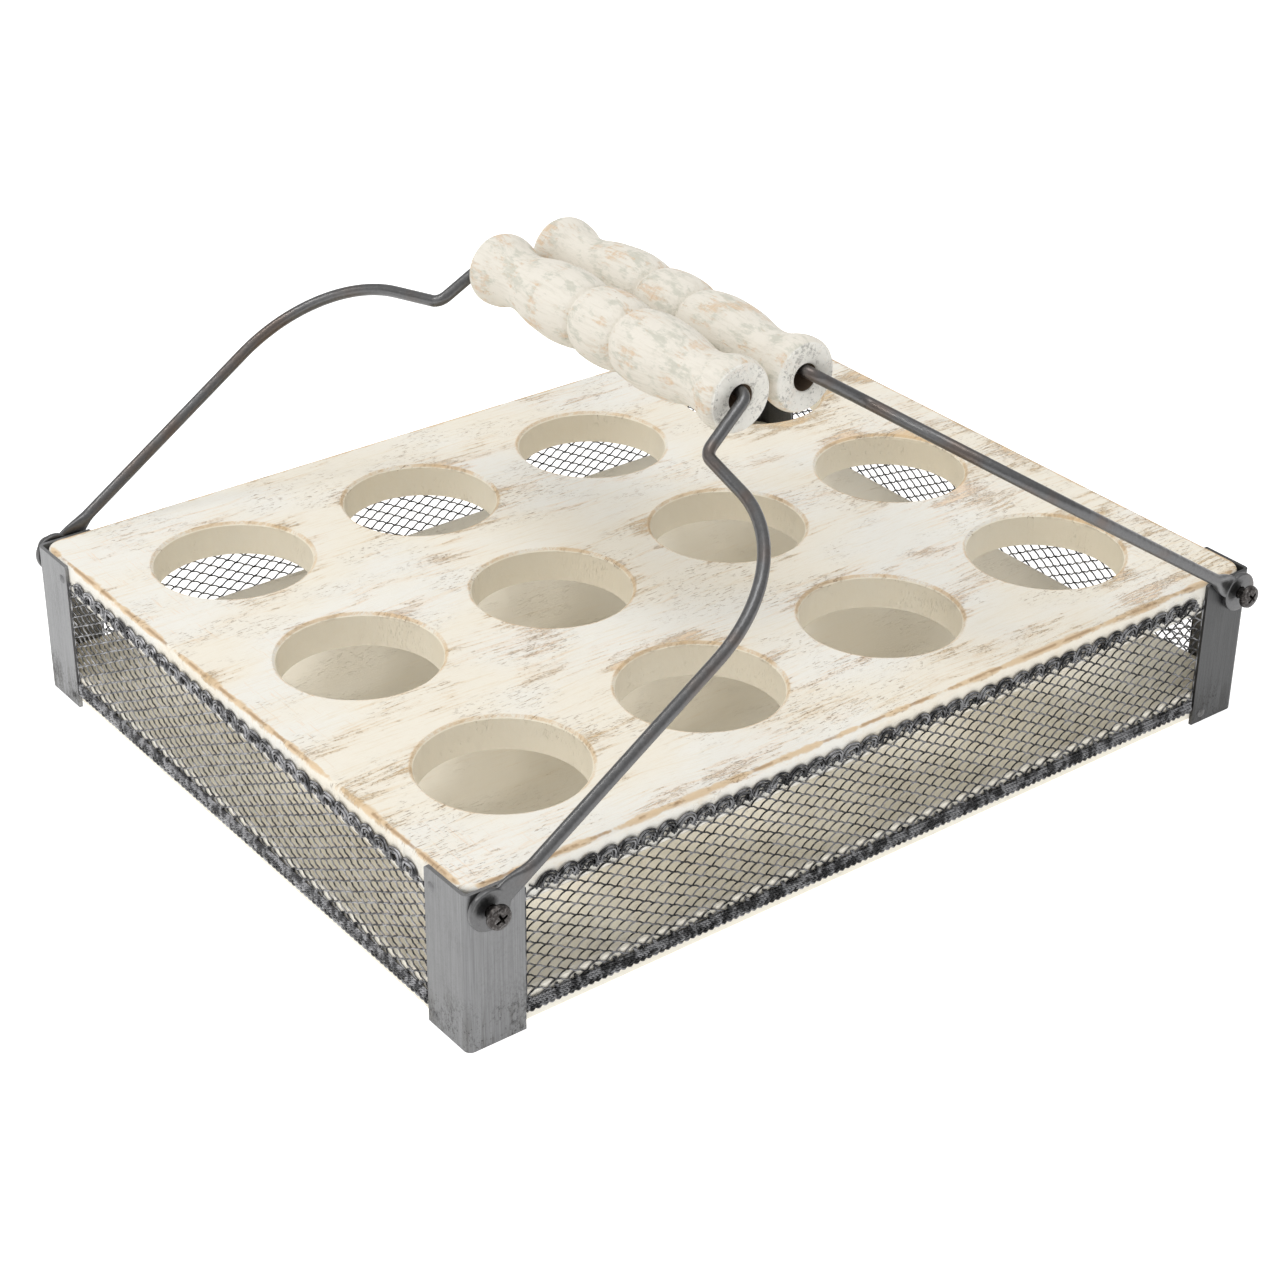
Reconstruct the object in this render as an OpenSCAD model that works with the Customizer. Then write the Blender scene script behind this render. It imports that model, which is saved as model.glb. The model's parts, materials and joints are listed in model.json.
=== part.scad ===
/* [Tray] */
// Length of the tray over the corner brackets, along the long sides
tray_l = 252; // [218:1:320]
// Width of the tray over the corner brackets, along the short sides
tray_w = 202; // [174:1:280]
// Height of the corner brackets, which are also the feet
bracket_h = 43; // [36:0.5:60]
// Thickness of the top board with the egg holes
top_board_t = 9.5; // [8:0.5:14]
// Thickness of the plain bottom board
bottom_board_t = 9.5; // [6:0.5:12]
// Radius of the boards' upright corners
board_corner_r = 5; // [3:0.5:9]
// Rounding of the boards' worn edges
board_edge_r = 1.2; // [0.4:0.1:2]

/* [Egg holes] */
// Diameter of one egg hole
egg_hole_d = 42; // [34:0.5:44]
// Number of holes along the long side
egg_cols = 4; // [2:1:4]
// Number of holes along the short side
egg_rows = 3; // [2:1:3]
// Wood left between the end holes and the short edges of the board
end_margin = 15.5; // [12:0.5:18]
// Wood left between the side holes and the long edges of the board
side_margin = 17; // [12:0.5:18]

/* [Corner brackets] */
// Width of each leg of a bracket
bracket_leg = 16; // [15:0.5:24]
// Thickness of the bracket steel
bracket_t = 1; // [0.8:0.1:1.6]
// Outside radius of the bracket's bend
bracket_bend_r = 1.8; // [1.5:0.1:3]

/* [Wire netting] */
// Width of one diamond of the netting
cell_w = 5.6; // [5:0.1:12]
// Height of one diamond of the netting
cell_h = 3.1; // [2.8:0.1:8]
// Width of the netting's wire
net_wire = 0.6; // [0.4:0.1:1]

/* [Handles] */
// Diameter of the handle rod
rod_d = 3.2; // [2.5:0.1:3.6]
// Height of the grips' rods above the pivot screws when the grips meet
handle_rise = 74.4; // [62:0.2:110]
// Distance of the pivot from the end of the tray
pivot_in = 5.5; // [4.5:0.5:9]
// Distance of the pivot below the top of the brackets
pivot_drop = 4.5; // [4:0.1:5]
// Diameter of the flattened eye at each end of the rod
eye_d = 10.8; // [9.6:0.2:13]
// Diameter of a pivot screw's shank
screw_d = 3; // [2.5:0.1:3.4]

/* [Wooden grips] */
// Length of a grip
grip_l = 102; // [80:1:104]
// Largest diameter of a grip
grip_d = 20; // [17:0.5:24]
// Diameter of the hole through a grip
grip_bore_d = 7.2; // [6:0.2:9]

/* [Hidden] */
$fn = 64;

// Colours
whitewash = [0.93, 0.90, 0.83];
steel_grey = [0.45, 0.46, 0.47];
gunmetal = [0.25, 0.25, 0.25];
net_grey = [0.20, 0.20, 0.21];
nail_grey = [0.38, 0.38, 0.40];

// Boards: the top one stands half a millimetre proud of the brackets
board_l = tray_l - 2 * bracket_t;
board_w = tray_w - 2 * bracket_t;
top_board_z1 = bracket_h + 0.5;
top_board_z0 = top_board_z1 - top_board_t;
bottom_board_z0 = 1;
egg_hole_r = egg_hole_d / 2;
egg_pitch_x = (board_l - 2 * end_margin - egg_hole_d) / (egg_cols - 1);
egg_pitch_y = (board_w - 2 * side_margin - egg_hole_d) / (egg_rows - 1);
hole_rim = 0.8;

// Fasteners: holes in wood fit the shanks, holes in steel clear them
snug = 0.03;
steel_gap = 0.15;
screw_r = screw_d / 2;
screw_depth = 10;
screw_head_r = 3.15;
screw_neck = 2.3;
screw_head_rim = 1.1;
screw_head_dome = 0.9;
nail_r = 0.7;
nail_l = 9;
nail_head_r = 1.3;
nail_head_h = 0.5;
nail_low_z = bottom_board_z0 + 1.7;
nail_high_z = top_board_z1 - 5;
nail_long_in = bracket_leg - 3.5;
nail_short_in = bracket_leg - 2.5;

// Netting: diamonds in columns, each half a diamond along and half a diamond up from the last,
// with two twisted cords below them, and one cord and a row of loops above
net_t = 0.7;
hem_r = 0.65;
net_long = tray_l - 2 * bracket_leg - 0.4;
net_short = tray_w - 2 * bracket_leg - 0.4;
net_z0 = 4;
net_z1 = top_board_z1 - 2.4;
net_h = net_z1 - net_z0;
low_band = 3.1;
high_band = 2.9;
end_band = 1.8;
low_cords = [hem_r, 2.5];
high_cord = net_h - 2;
loop_r = 2.6;
loop_rise = 1.7;
net_rows = floor((net_h - low_band - high_band) / cell_h);
cell_across = cell_w * cell_h / norm([cell_w, cell_h]);
cell_open = 1 - net_wire / cell_across;

// Handles: the eyes lie beside the brackets, the rods stand just proud of them
eye_gap = 0.5;
eye_t = 1.6;
eye_x0 = tray_w / 2 + eye_gap;
eye_bore_r = screw_r + 0.08;
rod_r = rod_d / 2;
arm_x = eye_x0 + 0.1 + rod_r;
slope = 12;
kink_fall = 18;
kink_x = grip_l / 2 + 5.3;
rise_x = grip_l / 2 + 2.3;
bend1 = 3.5;
bend2 = 4;
rod_start = 12;
neck_x0 = 3;
neck_x1 = rod_start + 3;
neck_w = 6;
neck_end_w = 0.75 * rod_d;
rod_lap = 0.3;
bend_swell = 0.03;

// Grips: each hangs on its rod, so its own axis is lower than the rod's
grip_gap = 0.3;
grip_r = grip_d / 2;
grip_bore_r = grip_bore_d / 2;
grip_drop = grip_bore_r - rod_r - 0.3;
grip_x = grip_r + grip_gap / 2;
pivot_x = tray_l / 2 - pivot_in;
pivot_z = bracket_h - pivot_drop;
lean = atan2(pivot_x - grip_x, handle_rise);
handle_reach = norm([pivot_x - grip_x, handle_rise]);
grip_z = pivot_z + handle_rise - grip_drop;

// Half of the handle's path, in its own plane: x across the tray, y away from the pivots
shoulder_r = min(38, (arm_x - kink_x - 6) / (1 - sin(slope)));
shoulder_in = arm_x - shoulder_r * (1 - sin(slope)) - kink_x;
shoulder_v = handle_reach - kink_fall - shoulder_r * cos(slope) - shoulder_in * tan(slope);
shoulder_c = [arm_x - shoulder_r, shoulder_v];
shoulder_top = shoulder_c + shoulder_r * [sin(slope), cos(slope)];
kink = shoulder_top + (shoulder_top[0] - kink_x) / cos(slope) * [-cos(slope), sin(slope)];
rise = [rise_x, handle_reach];
rise_dir = atan2(kink[1] - rise[1], kink[0] - rise[0]);
tan1 = bend1 * tan(-rise_dir / 2);
tan2 = bend2 * tan((-slope - rise_dir) / 2);
bend1_start = rise - [tan1, 0];
bend1_end = rise + tan1 * [cos(rise_dir), sin(rise_dir)];
bend2_start = kink - tan2 * [cos(rise_dir), sin(rise_dir)];
bend2_end = kink + tan2 * [cos(slope), -sin(slope)];
bend1_c = bend1_start - [0, bend1];
bend2_c = bend2_start + bend2 * [-sin(rise_dir), cos(rise_dir)];

// Grip outline from the middle to one end: [share of the half length, share of the largest radius]
grip_stations = [[0, 1], [0.09, 0.97], [0.15, 0.885], [0.175, 0.84], [0.2, 0.885], [0.27, 0.965],
  [0.38, 1], [0.54, 0.93], [0.7, 0.78], [0.8, 0.81], [0.88, 0.94], [0.94, 0.965], [0.98, 0.9], [1, 0.82]];
grip_last = len(grip_stations) - 1;
grip_steps = 4;
function station(i) =
  i < 0 ? [-grip_stations[-i][0], grip_stations[-i][1]]
  : i > grip_last ? 2 * grip_stations[grip_last] - grip_stations[grip_last - 1]
  : grip_stations[i];
function smooth(a, b, c, d, t) =
  (2 * b + (c - a) * t + (2 * a - 5 * b + 4 * c - d) * t * t + (3 * b - 3 * c + d - a) * t * t * t) / 2;
grip_half = [for (i = [0:grip_last - 1], k = [0:grip_steps - 1])
  smooth(station(i - 1), station(i), station(i + 1), station(i + 2), k / grip_steps)];
grip_side = [for (p = concat(grip_half, [station(grip_last)])) [p[1] * grip_r, p[0] * grip_l / 2]];

module at_corner(sx, sy) {
  mirror([sx < 0 ? 1 : 0, 0, 0])
    mirror([0, sy < 0 ? 1 : 0, 0])
      children();
}

module at_four_corners() {
  for (sx = [-1, 1])
    for (sy = [-1, 1])
      at_corner(sx, sy)
        children();
}

// Cross-section of a board: a flat bar with rounded long edges
module board_section(w, t) {
  r = board_edge_r;
  translate([-w / 2 + r, 0])
    square([w - 2 * r, t]);
  translate([-w / 2, r])
    square([w, t - 2 * r]);
  for (sx = [-1, 1])
    for (y = [r, t - r])
      translate([sx * (w / 2 - r), y])
        circle(r = r);
}

// Half of a round corner post with the same edges, to be turned
module corner_section(t) {
  r = board_edge_r;
  square([board_corner_r - r, t]);
  translate([0, r])
    square([board_corner_r, t - 2 * r]);
  for (y = [r, t - r])
    translate([board_corner_r - r, y])
      circle(r = r);
}

module board_blank(t) {
  rotate([90, 0, 90])
    translate([0, 0, -(board_l / 2 - board_corner_r)])
      linear_extrude(height = board_l - 2 * board_corner_r)
        board_section(board_w, t);
  rotate([90, 0, 0])
    translate([0, 0, -(board_w / 2 - board_corner_r)])
      linear_extrude(height = board_w - 2 * board_corner_r)
        board_section(board_l, t);
  for (sx = [-1, 1])
    for (sy = [-1, 1])
      translate([sx * (board_l / 2 - board_corner_r), sy * (board_w / 2 - board_corner_r), 0])
        rotate_extrude()
          corner_section(t);
}

module egg_hole() {
  translate([0, 0, top_board_z0 - 1])
    cylinder(r = egg_hole_r, h = top_board_t + 2);
  translate([0, 0, top_board_z1 - hole_rim])
    cylinder(r1 = egg_hole_r, r2 = egg_hole_r + 1.25 * hole_rim, h = 1.25 * hole_rim);
}

// A round hole or shank that points at the +Y side from outside it
module rod_y(x, z, r, y0, y1) {
  translate([x, y0, z])
    rotate([-90, 0, 0])
      cylinder(r = r, h = y1 - y0);
}

module rod_x(y, z, r, x0, x1) {
  translate([x0, y, z])
    rotate([0, 90, 0])
      cylinder(r = r, h = x1 - x0);
}

module top_board() {
  color(whitewash)
    difference() {
      translate([0, 0, top_board_z0])
        board_blank(top_board_t);
      for (i = [0:egg_cols - 1])
        for (j = [0:egg_rows - 1])
          translate([(i - (egg_cols - 1) / 2) * egg_pitch_x, (j - (egg_rows - 1) / 2) * egg_pitch_y, 0])
            egg_hole();
      at_four_corners()
        rod_y(pivot_x, pivot_z, screw_r + snug, tray_w / 2 - screw_depth - 0.5, tray_w / 2 + 1);
      at_four_corners()
        rod_x(tray_w / 2 - nail_short_in, nail_high_z, nail_r + snug,
              tray_l / 2 - nail_l - 0.5, tray_l / 2 + 1);
    }
}

module bottom_board() {
  color(whitewash)
    difference() {
      translate([0, 0, bottom_board_z0])
        board_blank(bottom_board_t);
      at_four_corners()
        rod_y(tray_l / 2 - nail_long_in, nail_low_z, nail_r + snug,
              tray_w / 2 - nail_l - 0.5, tray_w / 2 + 1);
      at_four_corners()
        rod_x(tray_w / 2 - nail_short_in, nail_low_z, nail_r + snug,
              tray_l / 2 - nail_l - 0.5, tray_l / 2 + 1);
    }
}

module bracket_plan() {
  translate([tray_l / 2 - bracket_leg, tray_w / 2 - bracket_t])
    square([bracket_leg - bracket_bend_r, bracket_t]);
  translate([tray_l / 2 - bracket_t, tray_w / 2 - bracket_leg])
    square([bracket_t, bracket_leg - bracket_bend_r]);
  translate([tray_l / 2 - bracket_bend_r, tray_w / 2 - bracket_bend_r])
    intersection() {
      difference() {
        circle(r = bracket_bend_r);
        circle(r = bracket_bend_r - bracket_t);
      }
      square(bracket_bend_r);
    }
}

// Three-sided cutter that clips a leg's free upper corner
module leg_clip() {
  translate([0, 0, -1])
    linear_extrude(height = bracket_t + 2)
      polygon([[-1, -1.6], [-1, 1], [1.6, 1], [0, -0.6]]);
}

module bracket(sx, sy) {
  color(steel_grey)
    at_corner(sx, sy)
      difference() {
        linear_extrude(height = bracket_h)
          bracket_plan();
        rod_y(pivot_x, pivot_z, screw_r + steel_gap, tray_w / 2 - bracket_t - 1, tray_w / 2 + 1);
        rod_y(tray_l / 2 - nail_long_in, nail_low_z, nail_r + steel_gap,
              tray_w / 2 - bracket_t - 1, tray_w / 2 + 1);
        for (z = [nail_low_z, nail_high_z])
          rod_x(tray_w / 2 - nail_short_in, z, nail_r + steel_gap,
                tray_l / 2 - bracket_t - 1, tray_l / 2 + 1);
        translate([tray_l / 2 - bracket_leg, tray_w / 2, bracket_h])
          rotate([90, 0, 0])
            leg_clip();
        translate([tray_l / 2 - bracket_t, tray_w / 2 - bracket_leg, bracket_h])
          rotate([90, 0, 90])
            leg_clip();
      }
}

// Low dome on a short rim, rising along +Z
module dome(r, h) {
  ball = (r * r + h * h) / (2 * h);
  intersection() {
    translate([0, 0, h - ball])
      sphere(r = ball);
    cylinder(r = r, h = h + 0.1);
  }
}

module pivot_screw(sx, sy) {
  head_y = eye_x0 + eye_t + screw_neck;
  color(gunmetal)
    at_corner(sx, sy)
      translate([pivot_x, 0, pivot_z])
        rotate([-90, 0, 0])
          difference() {
            union() {
              translate([0, 0, tray_w / 2 - screw_depth])
                cylinder(r = screw_r, h = head_y - tray_w / 2 + screw_depth + 0.2);
              translate([0, 0, head_y])
                cylinder(r = screw_head_r, h = screw_head_rim);
              translate([0, 0, head_y + screw_head_rim])
                dome(screw_head_r, screw_head_dome);
            }
            for (a = [25, 115])
              translate([0, 0, head_y + 1.7])
                rotate([0, 0, a])
                  cube([3.6, 0.8, 1.8], center = true);
          }
}

// Nail that points inwards: shank along -Z, domed head above z = 0
module nail() {
  translate([0, 0, -nail_l])
    cylinder(r = nail_r, h = nail_l + 0.1);
  dome(nail_head_r, nail_head_h);
}

module nails_long_sides() {
  color(nail_grey)
    at_four_corners()
      translate([tray_l / 2 - nail_long_in, tray_w / 2, nail_low_z])
        rotate([-90, 0, 0])
          nail();
}

module nails_short_sides(z) {
  color(nail_grey)
    at_four_corners()
      translate([tray_l / 2, tray_w / 2 - nail_short_in, z])
        rotate([0, 90, 0])
          nail();
}

// Opening of one diamond
module net_cell(x, z) {
  half = [cell_w, cell_h] * cell_open / 2;
  translate([x, z])
    polygon([[-half[0], 0], [0, -half[1]], [half[0], 0], [0, half[1]]]);
}

// Outline of a panel: a band with a row of loops along its upper edge
module net_outline(len) {
  loops = floor((len - 1) / cell_w);
  square([len, net_h - loop_rise]);
  for (i = [0:loops - 1])
    translate([len / 2 + (i - (loops - 1) / 2) * cell_w, net_h - loop_r])
      circle(r = loop_r);
}

// One netting panel of length len, standing on the XZ plane and facing +Y
module netting(len) {
  columns = floor((len - 2 * end_band) * 2 / cell_w) - 1;
  translate([-len / 2, net_t, net_z0])
    rotate([90, 0, 0])
      linear_extrude(height = net_t)
        difference() {
          net_outline(len);
          for (c = [0:columns - 1])
            for (r = [0:net_rows - 1 - c % 2])
              net_cell(len / 2 + (c - (columns - 1) / 2) * cell_w / 2,
                       low_band + (r + (1 + c % 2) / 2) * cell_h);
        }
  for (z = concat(low_cords, [high_cord]))
    translate([-len / 2, hem_r, net_z0 + z])
      rotate([0, 90, 0])
        cylinder(r = hem_r, h = len, $fn = 24);
}

module netting_front() {
  color(net_grey)
    mirror([0, 1, 0])
      translate([0, board_w / 2, 0])
        netting(net_long);
}

module netting_back() {
  color(net_grey)
    translate([0, board_w / 2, 0])
      netting(net_long);
}

module netting_left() {
  color(net_grey)
    rotate([0, 0, 90])
      translate([0, board_l / 2, 0])
        netting(net_short);
}

module netting_right() {
  color(net_grey)
    rotate([0, 0, -90])
      translate([0, board_l / 2, 0])
        netting(net_short);
}

// Straight stretch of handle rod from p to q, with ends that run on into its bends
module rod_line(p, q) {
  translate([p[0], p[1], 0])
    rotate([0, 0, atan2(q[1] - p[1], q[0] - p[0])])
      rotate([0, 90, 0])
        translate([0, 0, -rod_lap])
          cylinder(r = rod_r, h = norm(q - p) + 2 * rod_lap, $fn = 32);
}

// Bent stretch of handle rod around c, from angle a0 to a1, a hair thicker than the rod
module rod_bend(c, r, a0, a1) {
  translate([c[0], c[1], 0])
    rotate([0, 0, a0])
      rotate_extrude(angle = a1 - a0, $fn = 96)
        translate([r, 0])
          circle(r = rod_r + bend_swell, $fn = 32);
}

// Flattened end: a round eye with a tapering neck that runs into the rod
module rod_eye() {
  translate([eye_x0, 0, 0])
    rotate([90, 0, 90])
      difference() {
        union() {
          cylinder(r = eye_d / 2, h = eye_t);
          linear_extrude(height = eye_t)
            polygon([[neck_x0, -neck_w / 2], [neck_x1, -neck_end_w / 2],
                     [neck_x1, neck_end_w / 2], [neck_x0, neck_w / 2]]);
        }
        translate([0, 0, -1])
          cylinder(r = eye_bore_r, h = eye_t + 2);
      }
}

module handle_half() {
  rod_bend(bend1_c, bend1, rise_dir + 90, 90);
  rod_line(bend1_end, bend2_start);
  rod_bend(bend2_c, bend2, rise_dir - 90, -slope - 90);
  rod_line(bend2_end, shoulder_top);
  rod_bend(shoulder_c, shoulder_r, 0, 90 - slope);
  rod_line([arm_x, shoulder_v], [arm_x, rod_start]);
  translate([arm_x, rod_start, 0])
    sphere(r = rod_r + 2 * bend_swell);
  rod_eye();
}

module handle_wire() {
  color(gunmetal)
    translate([-pivot_x, 0, pivot_z])
      rotate([0, lean, 0])
        rotate([90, 0, 90]) {
          rod_line([-bend1_start[0], handle_reach], bend1_start);
          handle_half();
          mirror([1, 0, 0])
            handle_half();
        }
}

module grip() {
  lower_side = [for (i = [len(grip_side) - 1:-1:1]) [grip_side[i][0], -grip_side[i][1]]];
  color(whitewash)
    translate([-grip_x, 0, grip_z])
      rotate([90, 0, 0])
        difference() {
          rotate_extrude()
            polygon(concat([[0, -grip_l / 2]], lower_side, grip_side, [[0, grip_l / 2]]));
          translate([0, 0, -grip_l])
            cylinder(r = grip_bore_r, h = 2 * grip_l);
        }
}

top_board();
bottom_board();
bracket(-1, -1);  // bracket_front_left
bracket(1, -1);  // bracket_front_right
bracket(-1, 1);  // bracket_back_left
bracket(1, 1);  // bracket_back_right
netting_front();
netting_back();
netting_left();
netting_right();
pivot_screw(-1, -1);  // pivot_screw_front_left
pivot_screw(1, -1);  // pivot_screw_front_right
pivot_screw(-1, 1);  // pivot_screw_back_left
pivot_screw(1, 1);  // pivot_screw_back_right
nails_long_sides();
nails_short_sides(nail_high_z);  // nails_short_sides_upper
nails_short_sides(nail_low_z);  // nails_short_sides_lower
handle_wire();  // handle_wire_left
mirror([1, 0, 0]) handle_wire();  // handle_wire_right
grip();  // grip_left
mirror([1, 0, 0]) grip();  // grip_right
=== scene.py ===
"""Looks for the egg holder tray: whitewashed boards, wire netting, bent steel and turned grips."""

import json
import math

import bmesh
import bpy
import numpy as np
from mathutils import Matrix, Vector, noise


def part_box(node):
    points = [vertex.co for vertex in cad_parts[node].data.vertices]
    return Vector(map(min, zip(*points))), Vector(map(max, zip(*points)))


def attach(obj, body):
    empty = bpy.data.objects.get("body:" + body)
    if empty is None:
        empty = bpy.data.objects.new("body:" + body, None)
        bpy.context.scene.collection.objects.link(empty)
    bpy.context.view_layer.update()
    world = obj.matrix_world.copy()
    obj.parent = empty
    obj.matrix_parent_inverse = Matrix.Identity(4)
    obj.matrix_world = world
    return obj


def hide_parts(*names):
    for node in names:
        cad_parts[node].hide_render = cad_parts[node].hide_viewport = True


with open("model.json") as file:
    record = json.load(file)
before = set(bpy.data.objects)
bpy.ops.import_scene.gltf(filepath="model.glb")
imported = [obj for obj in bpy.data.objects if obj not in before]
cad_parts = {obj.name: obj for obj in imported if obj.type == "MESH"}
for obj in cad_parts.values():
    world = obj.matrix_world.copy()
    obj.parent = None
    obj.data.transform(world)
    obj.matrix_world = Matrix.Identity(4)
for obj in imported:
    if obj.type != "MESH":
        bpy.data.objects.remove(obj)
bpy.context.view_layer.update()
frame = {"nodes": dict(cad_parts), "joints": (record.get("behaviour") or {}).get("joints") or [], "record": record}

MM = 0.001
SEED = 11
joints = {j["name"]: j for j in frame["joints"]}
corners = [(side_y, side_x) for side_y in ("front", "back") for side_x in ("left", "right")]


def box_mm(node):
    """Lowest and highest corner of a CAD node, in millimetres."""
    low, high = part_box(node)
    return np.array(low) / MM, np.array(high) / MM


def joint_mm(name):
    return np.array(joints[name]["pos_m"]) / MM


def smooth_noise(x, y, z):
    """Noise from -1 to 1 that changes over one unit."""
    return noise.noise((x + 3.1, y + 7.7, z + SEED))


# ---------------------------------------------------------------- mesh helpers


def piece(name, parts, material, body, replaced=(), smooth_angle=40):
    """One named object from a list of (points in mm, faces), riding on a body."""
    points = []
    faces = []
    start = 0
    for part_points, part_faces in parts:
        points.append(np.asarray(part_points, float))
        faces += [[i + start for i in face] for face in part_faces]
        start += len(part_points)
    mesh = bpy.data.meshes.new(name)
    mesh.from_pydata((np.concatenate(points) * MM).tolist(), [], faces)
    tidy = bmesh.new()
    tidy.from_mesh(mesh)
    bmesh.ops.recalc_face_normals(tidy, faces=tidy.faces)
    for edge in tidy.edges:
        if len(edge.link_faces) == 2:
            edge.smooth = edge.calc_face_angle(0) < math.radians(smooth_angle)
    for face in tidy.faces:
        face.smooth = True
    tidy.to_mesh(mesh)
    tidy.free()
    mesh.materials.append(material)
    obj = bpy.data.objects.new(name, mesh)
    bpy.context.scene.collection.objects.link(obj)
    if body:
        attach(obj, body)
    if replaced:
        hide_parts(*replaced)
    return obj


def rings_to_faces(rings, sides, capped=True):
    """Quads between rings of points, with a flat cap at each end unless the rings are left open."""
    faces = []
    for i in range(rings - 1):
        for j in range(sides):
            k = (j + 1) % sides
            faces.append([i * sides + j, i * sides + k, (i + 1) * sides + k, (i + 1) * sides + j])
    if capped:
        faces.append(list(range(sides)))
        faces.append([(rings - 1) * sides + j for j in range(sides)])
    return faces


def sweep(path, up, half_side, half_up, sides, power=2.0):
    """Tube along path. Its section is half_up tall along the up direction and half_side across.

    half_side and half_up are one number, or one for each point of the path. A power of 2 gives
    an ellipse, and a larger one a flatter bar.
    """
    path = np.asarray(path, float)
    count = len(path)
    tangent = np.gradient(path, axis=0)
    up = np.broadcast_to(np.asarray(up, float), path.shape)
    side = np.cross(tangent, up)
    side /= np.linalg.norm(side, axis=1)[:, None]
    top = np.cross(side, tangent)
    top /= np.linalg.norm(top, axis=1)[:, None]
    angle = 2 * math.pi * np.arange(sides) / sides
    power = np.broadcast_to(power, (count,))[:, None]
    across = np.sign(np.cos(angle)) * np.abs(np.cos(angle)) ** (2 / power)
    along = np.sign(np.sin(angle)) * np.abs(np.sin(angle)) ** (2 / power)
    across = across * np.broadcast_to(half_side, (count,))[:, None]
    along = along * np.broadcast_to(half_up, (count,))[:, None]
    points = path[:, None, :] + across[:, :, None] * side[:, None, :] + along[:, :, None] * top[:, None, :]
    return points.reshape(-1, 3), rings_to_faces(count, sides)


def lathe(profile, centre, axis, sides, closed=False):
    """Turns (radius, distance along the axis) pairs around an axis through centre."""
    axis = np.asarray(axis, float)
    first = np.cross(axis, (0, 0, 1) if abs(axis[2]) < 0.9 else (1, 0, 0))
    first /= np.linalg.norm(first)
    second = np.cross(axis, first)
    angle = 2 * math.pi * np.arange(sides) / sides
    spokes = np.cos(angle)[:, None] * first + np.sin(angle)[:, None] * second
    points = [np.asarray(centre, float) + d * axis + r * spokes for r, d in profile]
    rows = len(profile)
    faces = rings_to_faces(rows, sides, capped=not closed)
    if closed:
        last = (rows - 1) * sides
        for j in range(sides):
            k = (j + 1) % sides
            faces.append([last + j, last + k, k, j])
    return np.concatenate(points), faces


def arc(centre, radius, start, end, steps):
    """Points on an arc in two dimensions, with angles in degrees."""
    angle = np.radians(np.linspace(start, end, steps))
    return [(centre[0] + radius * math.cos(a), centre[1] + radius * math.sin(a)) for a in angle]


def boolean(target, tool, operation):
    """Joins the tool mesh to the target, or cuts it out, and removes the tool."""
    change = target.modifiers.new("cut", "BOOLEAN")
    change.operation = operation
    change.solver = "EXACT"
    change.object = tool
    bpy.context.view_layer.update()
    graph = bpy.context.evaluated_depsgraph_get()
    result = bpy.data.meshes.new_from_object(target.evaluated_get(graph))
    target.modifiers.clear()
    old = target.data
    target.data = result
    bpy.data.meshes.remove(old)
    bpy.data.objects.remove(tool)


# ------------------------------------------------------------ material helpers


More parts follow.
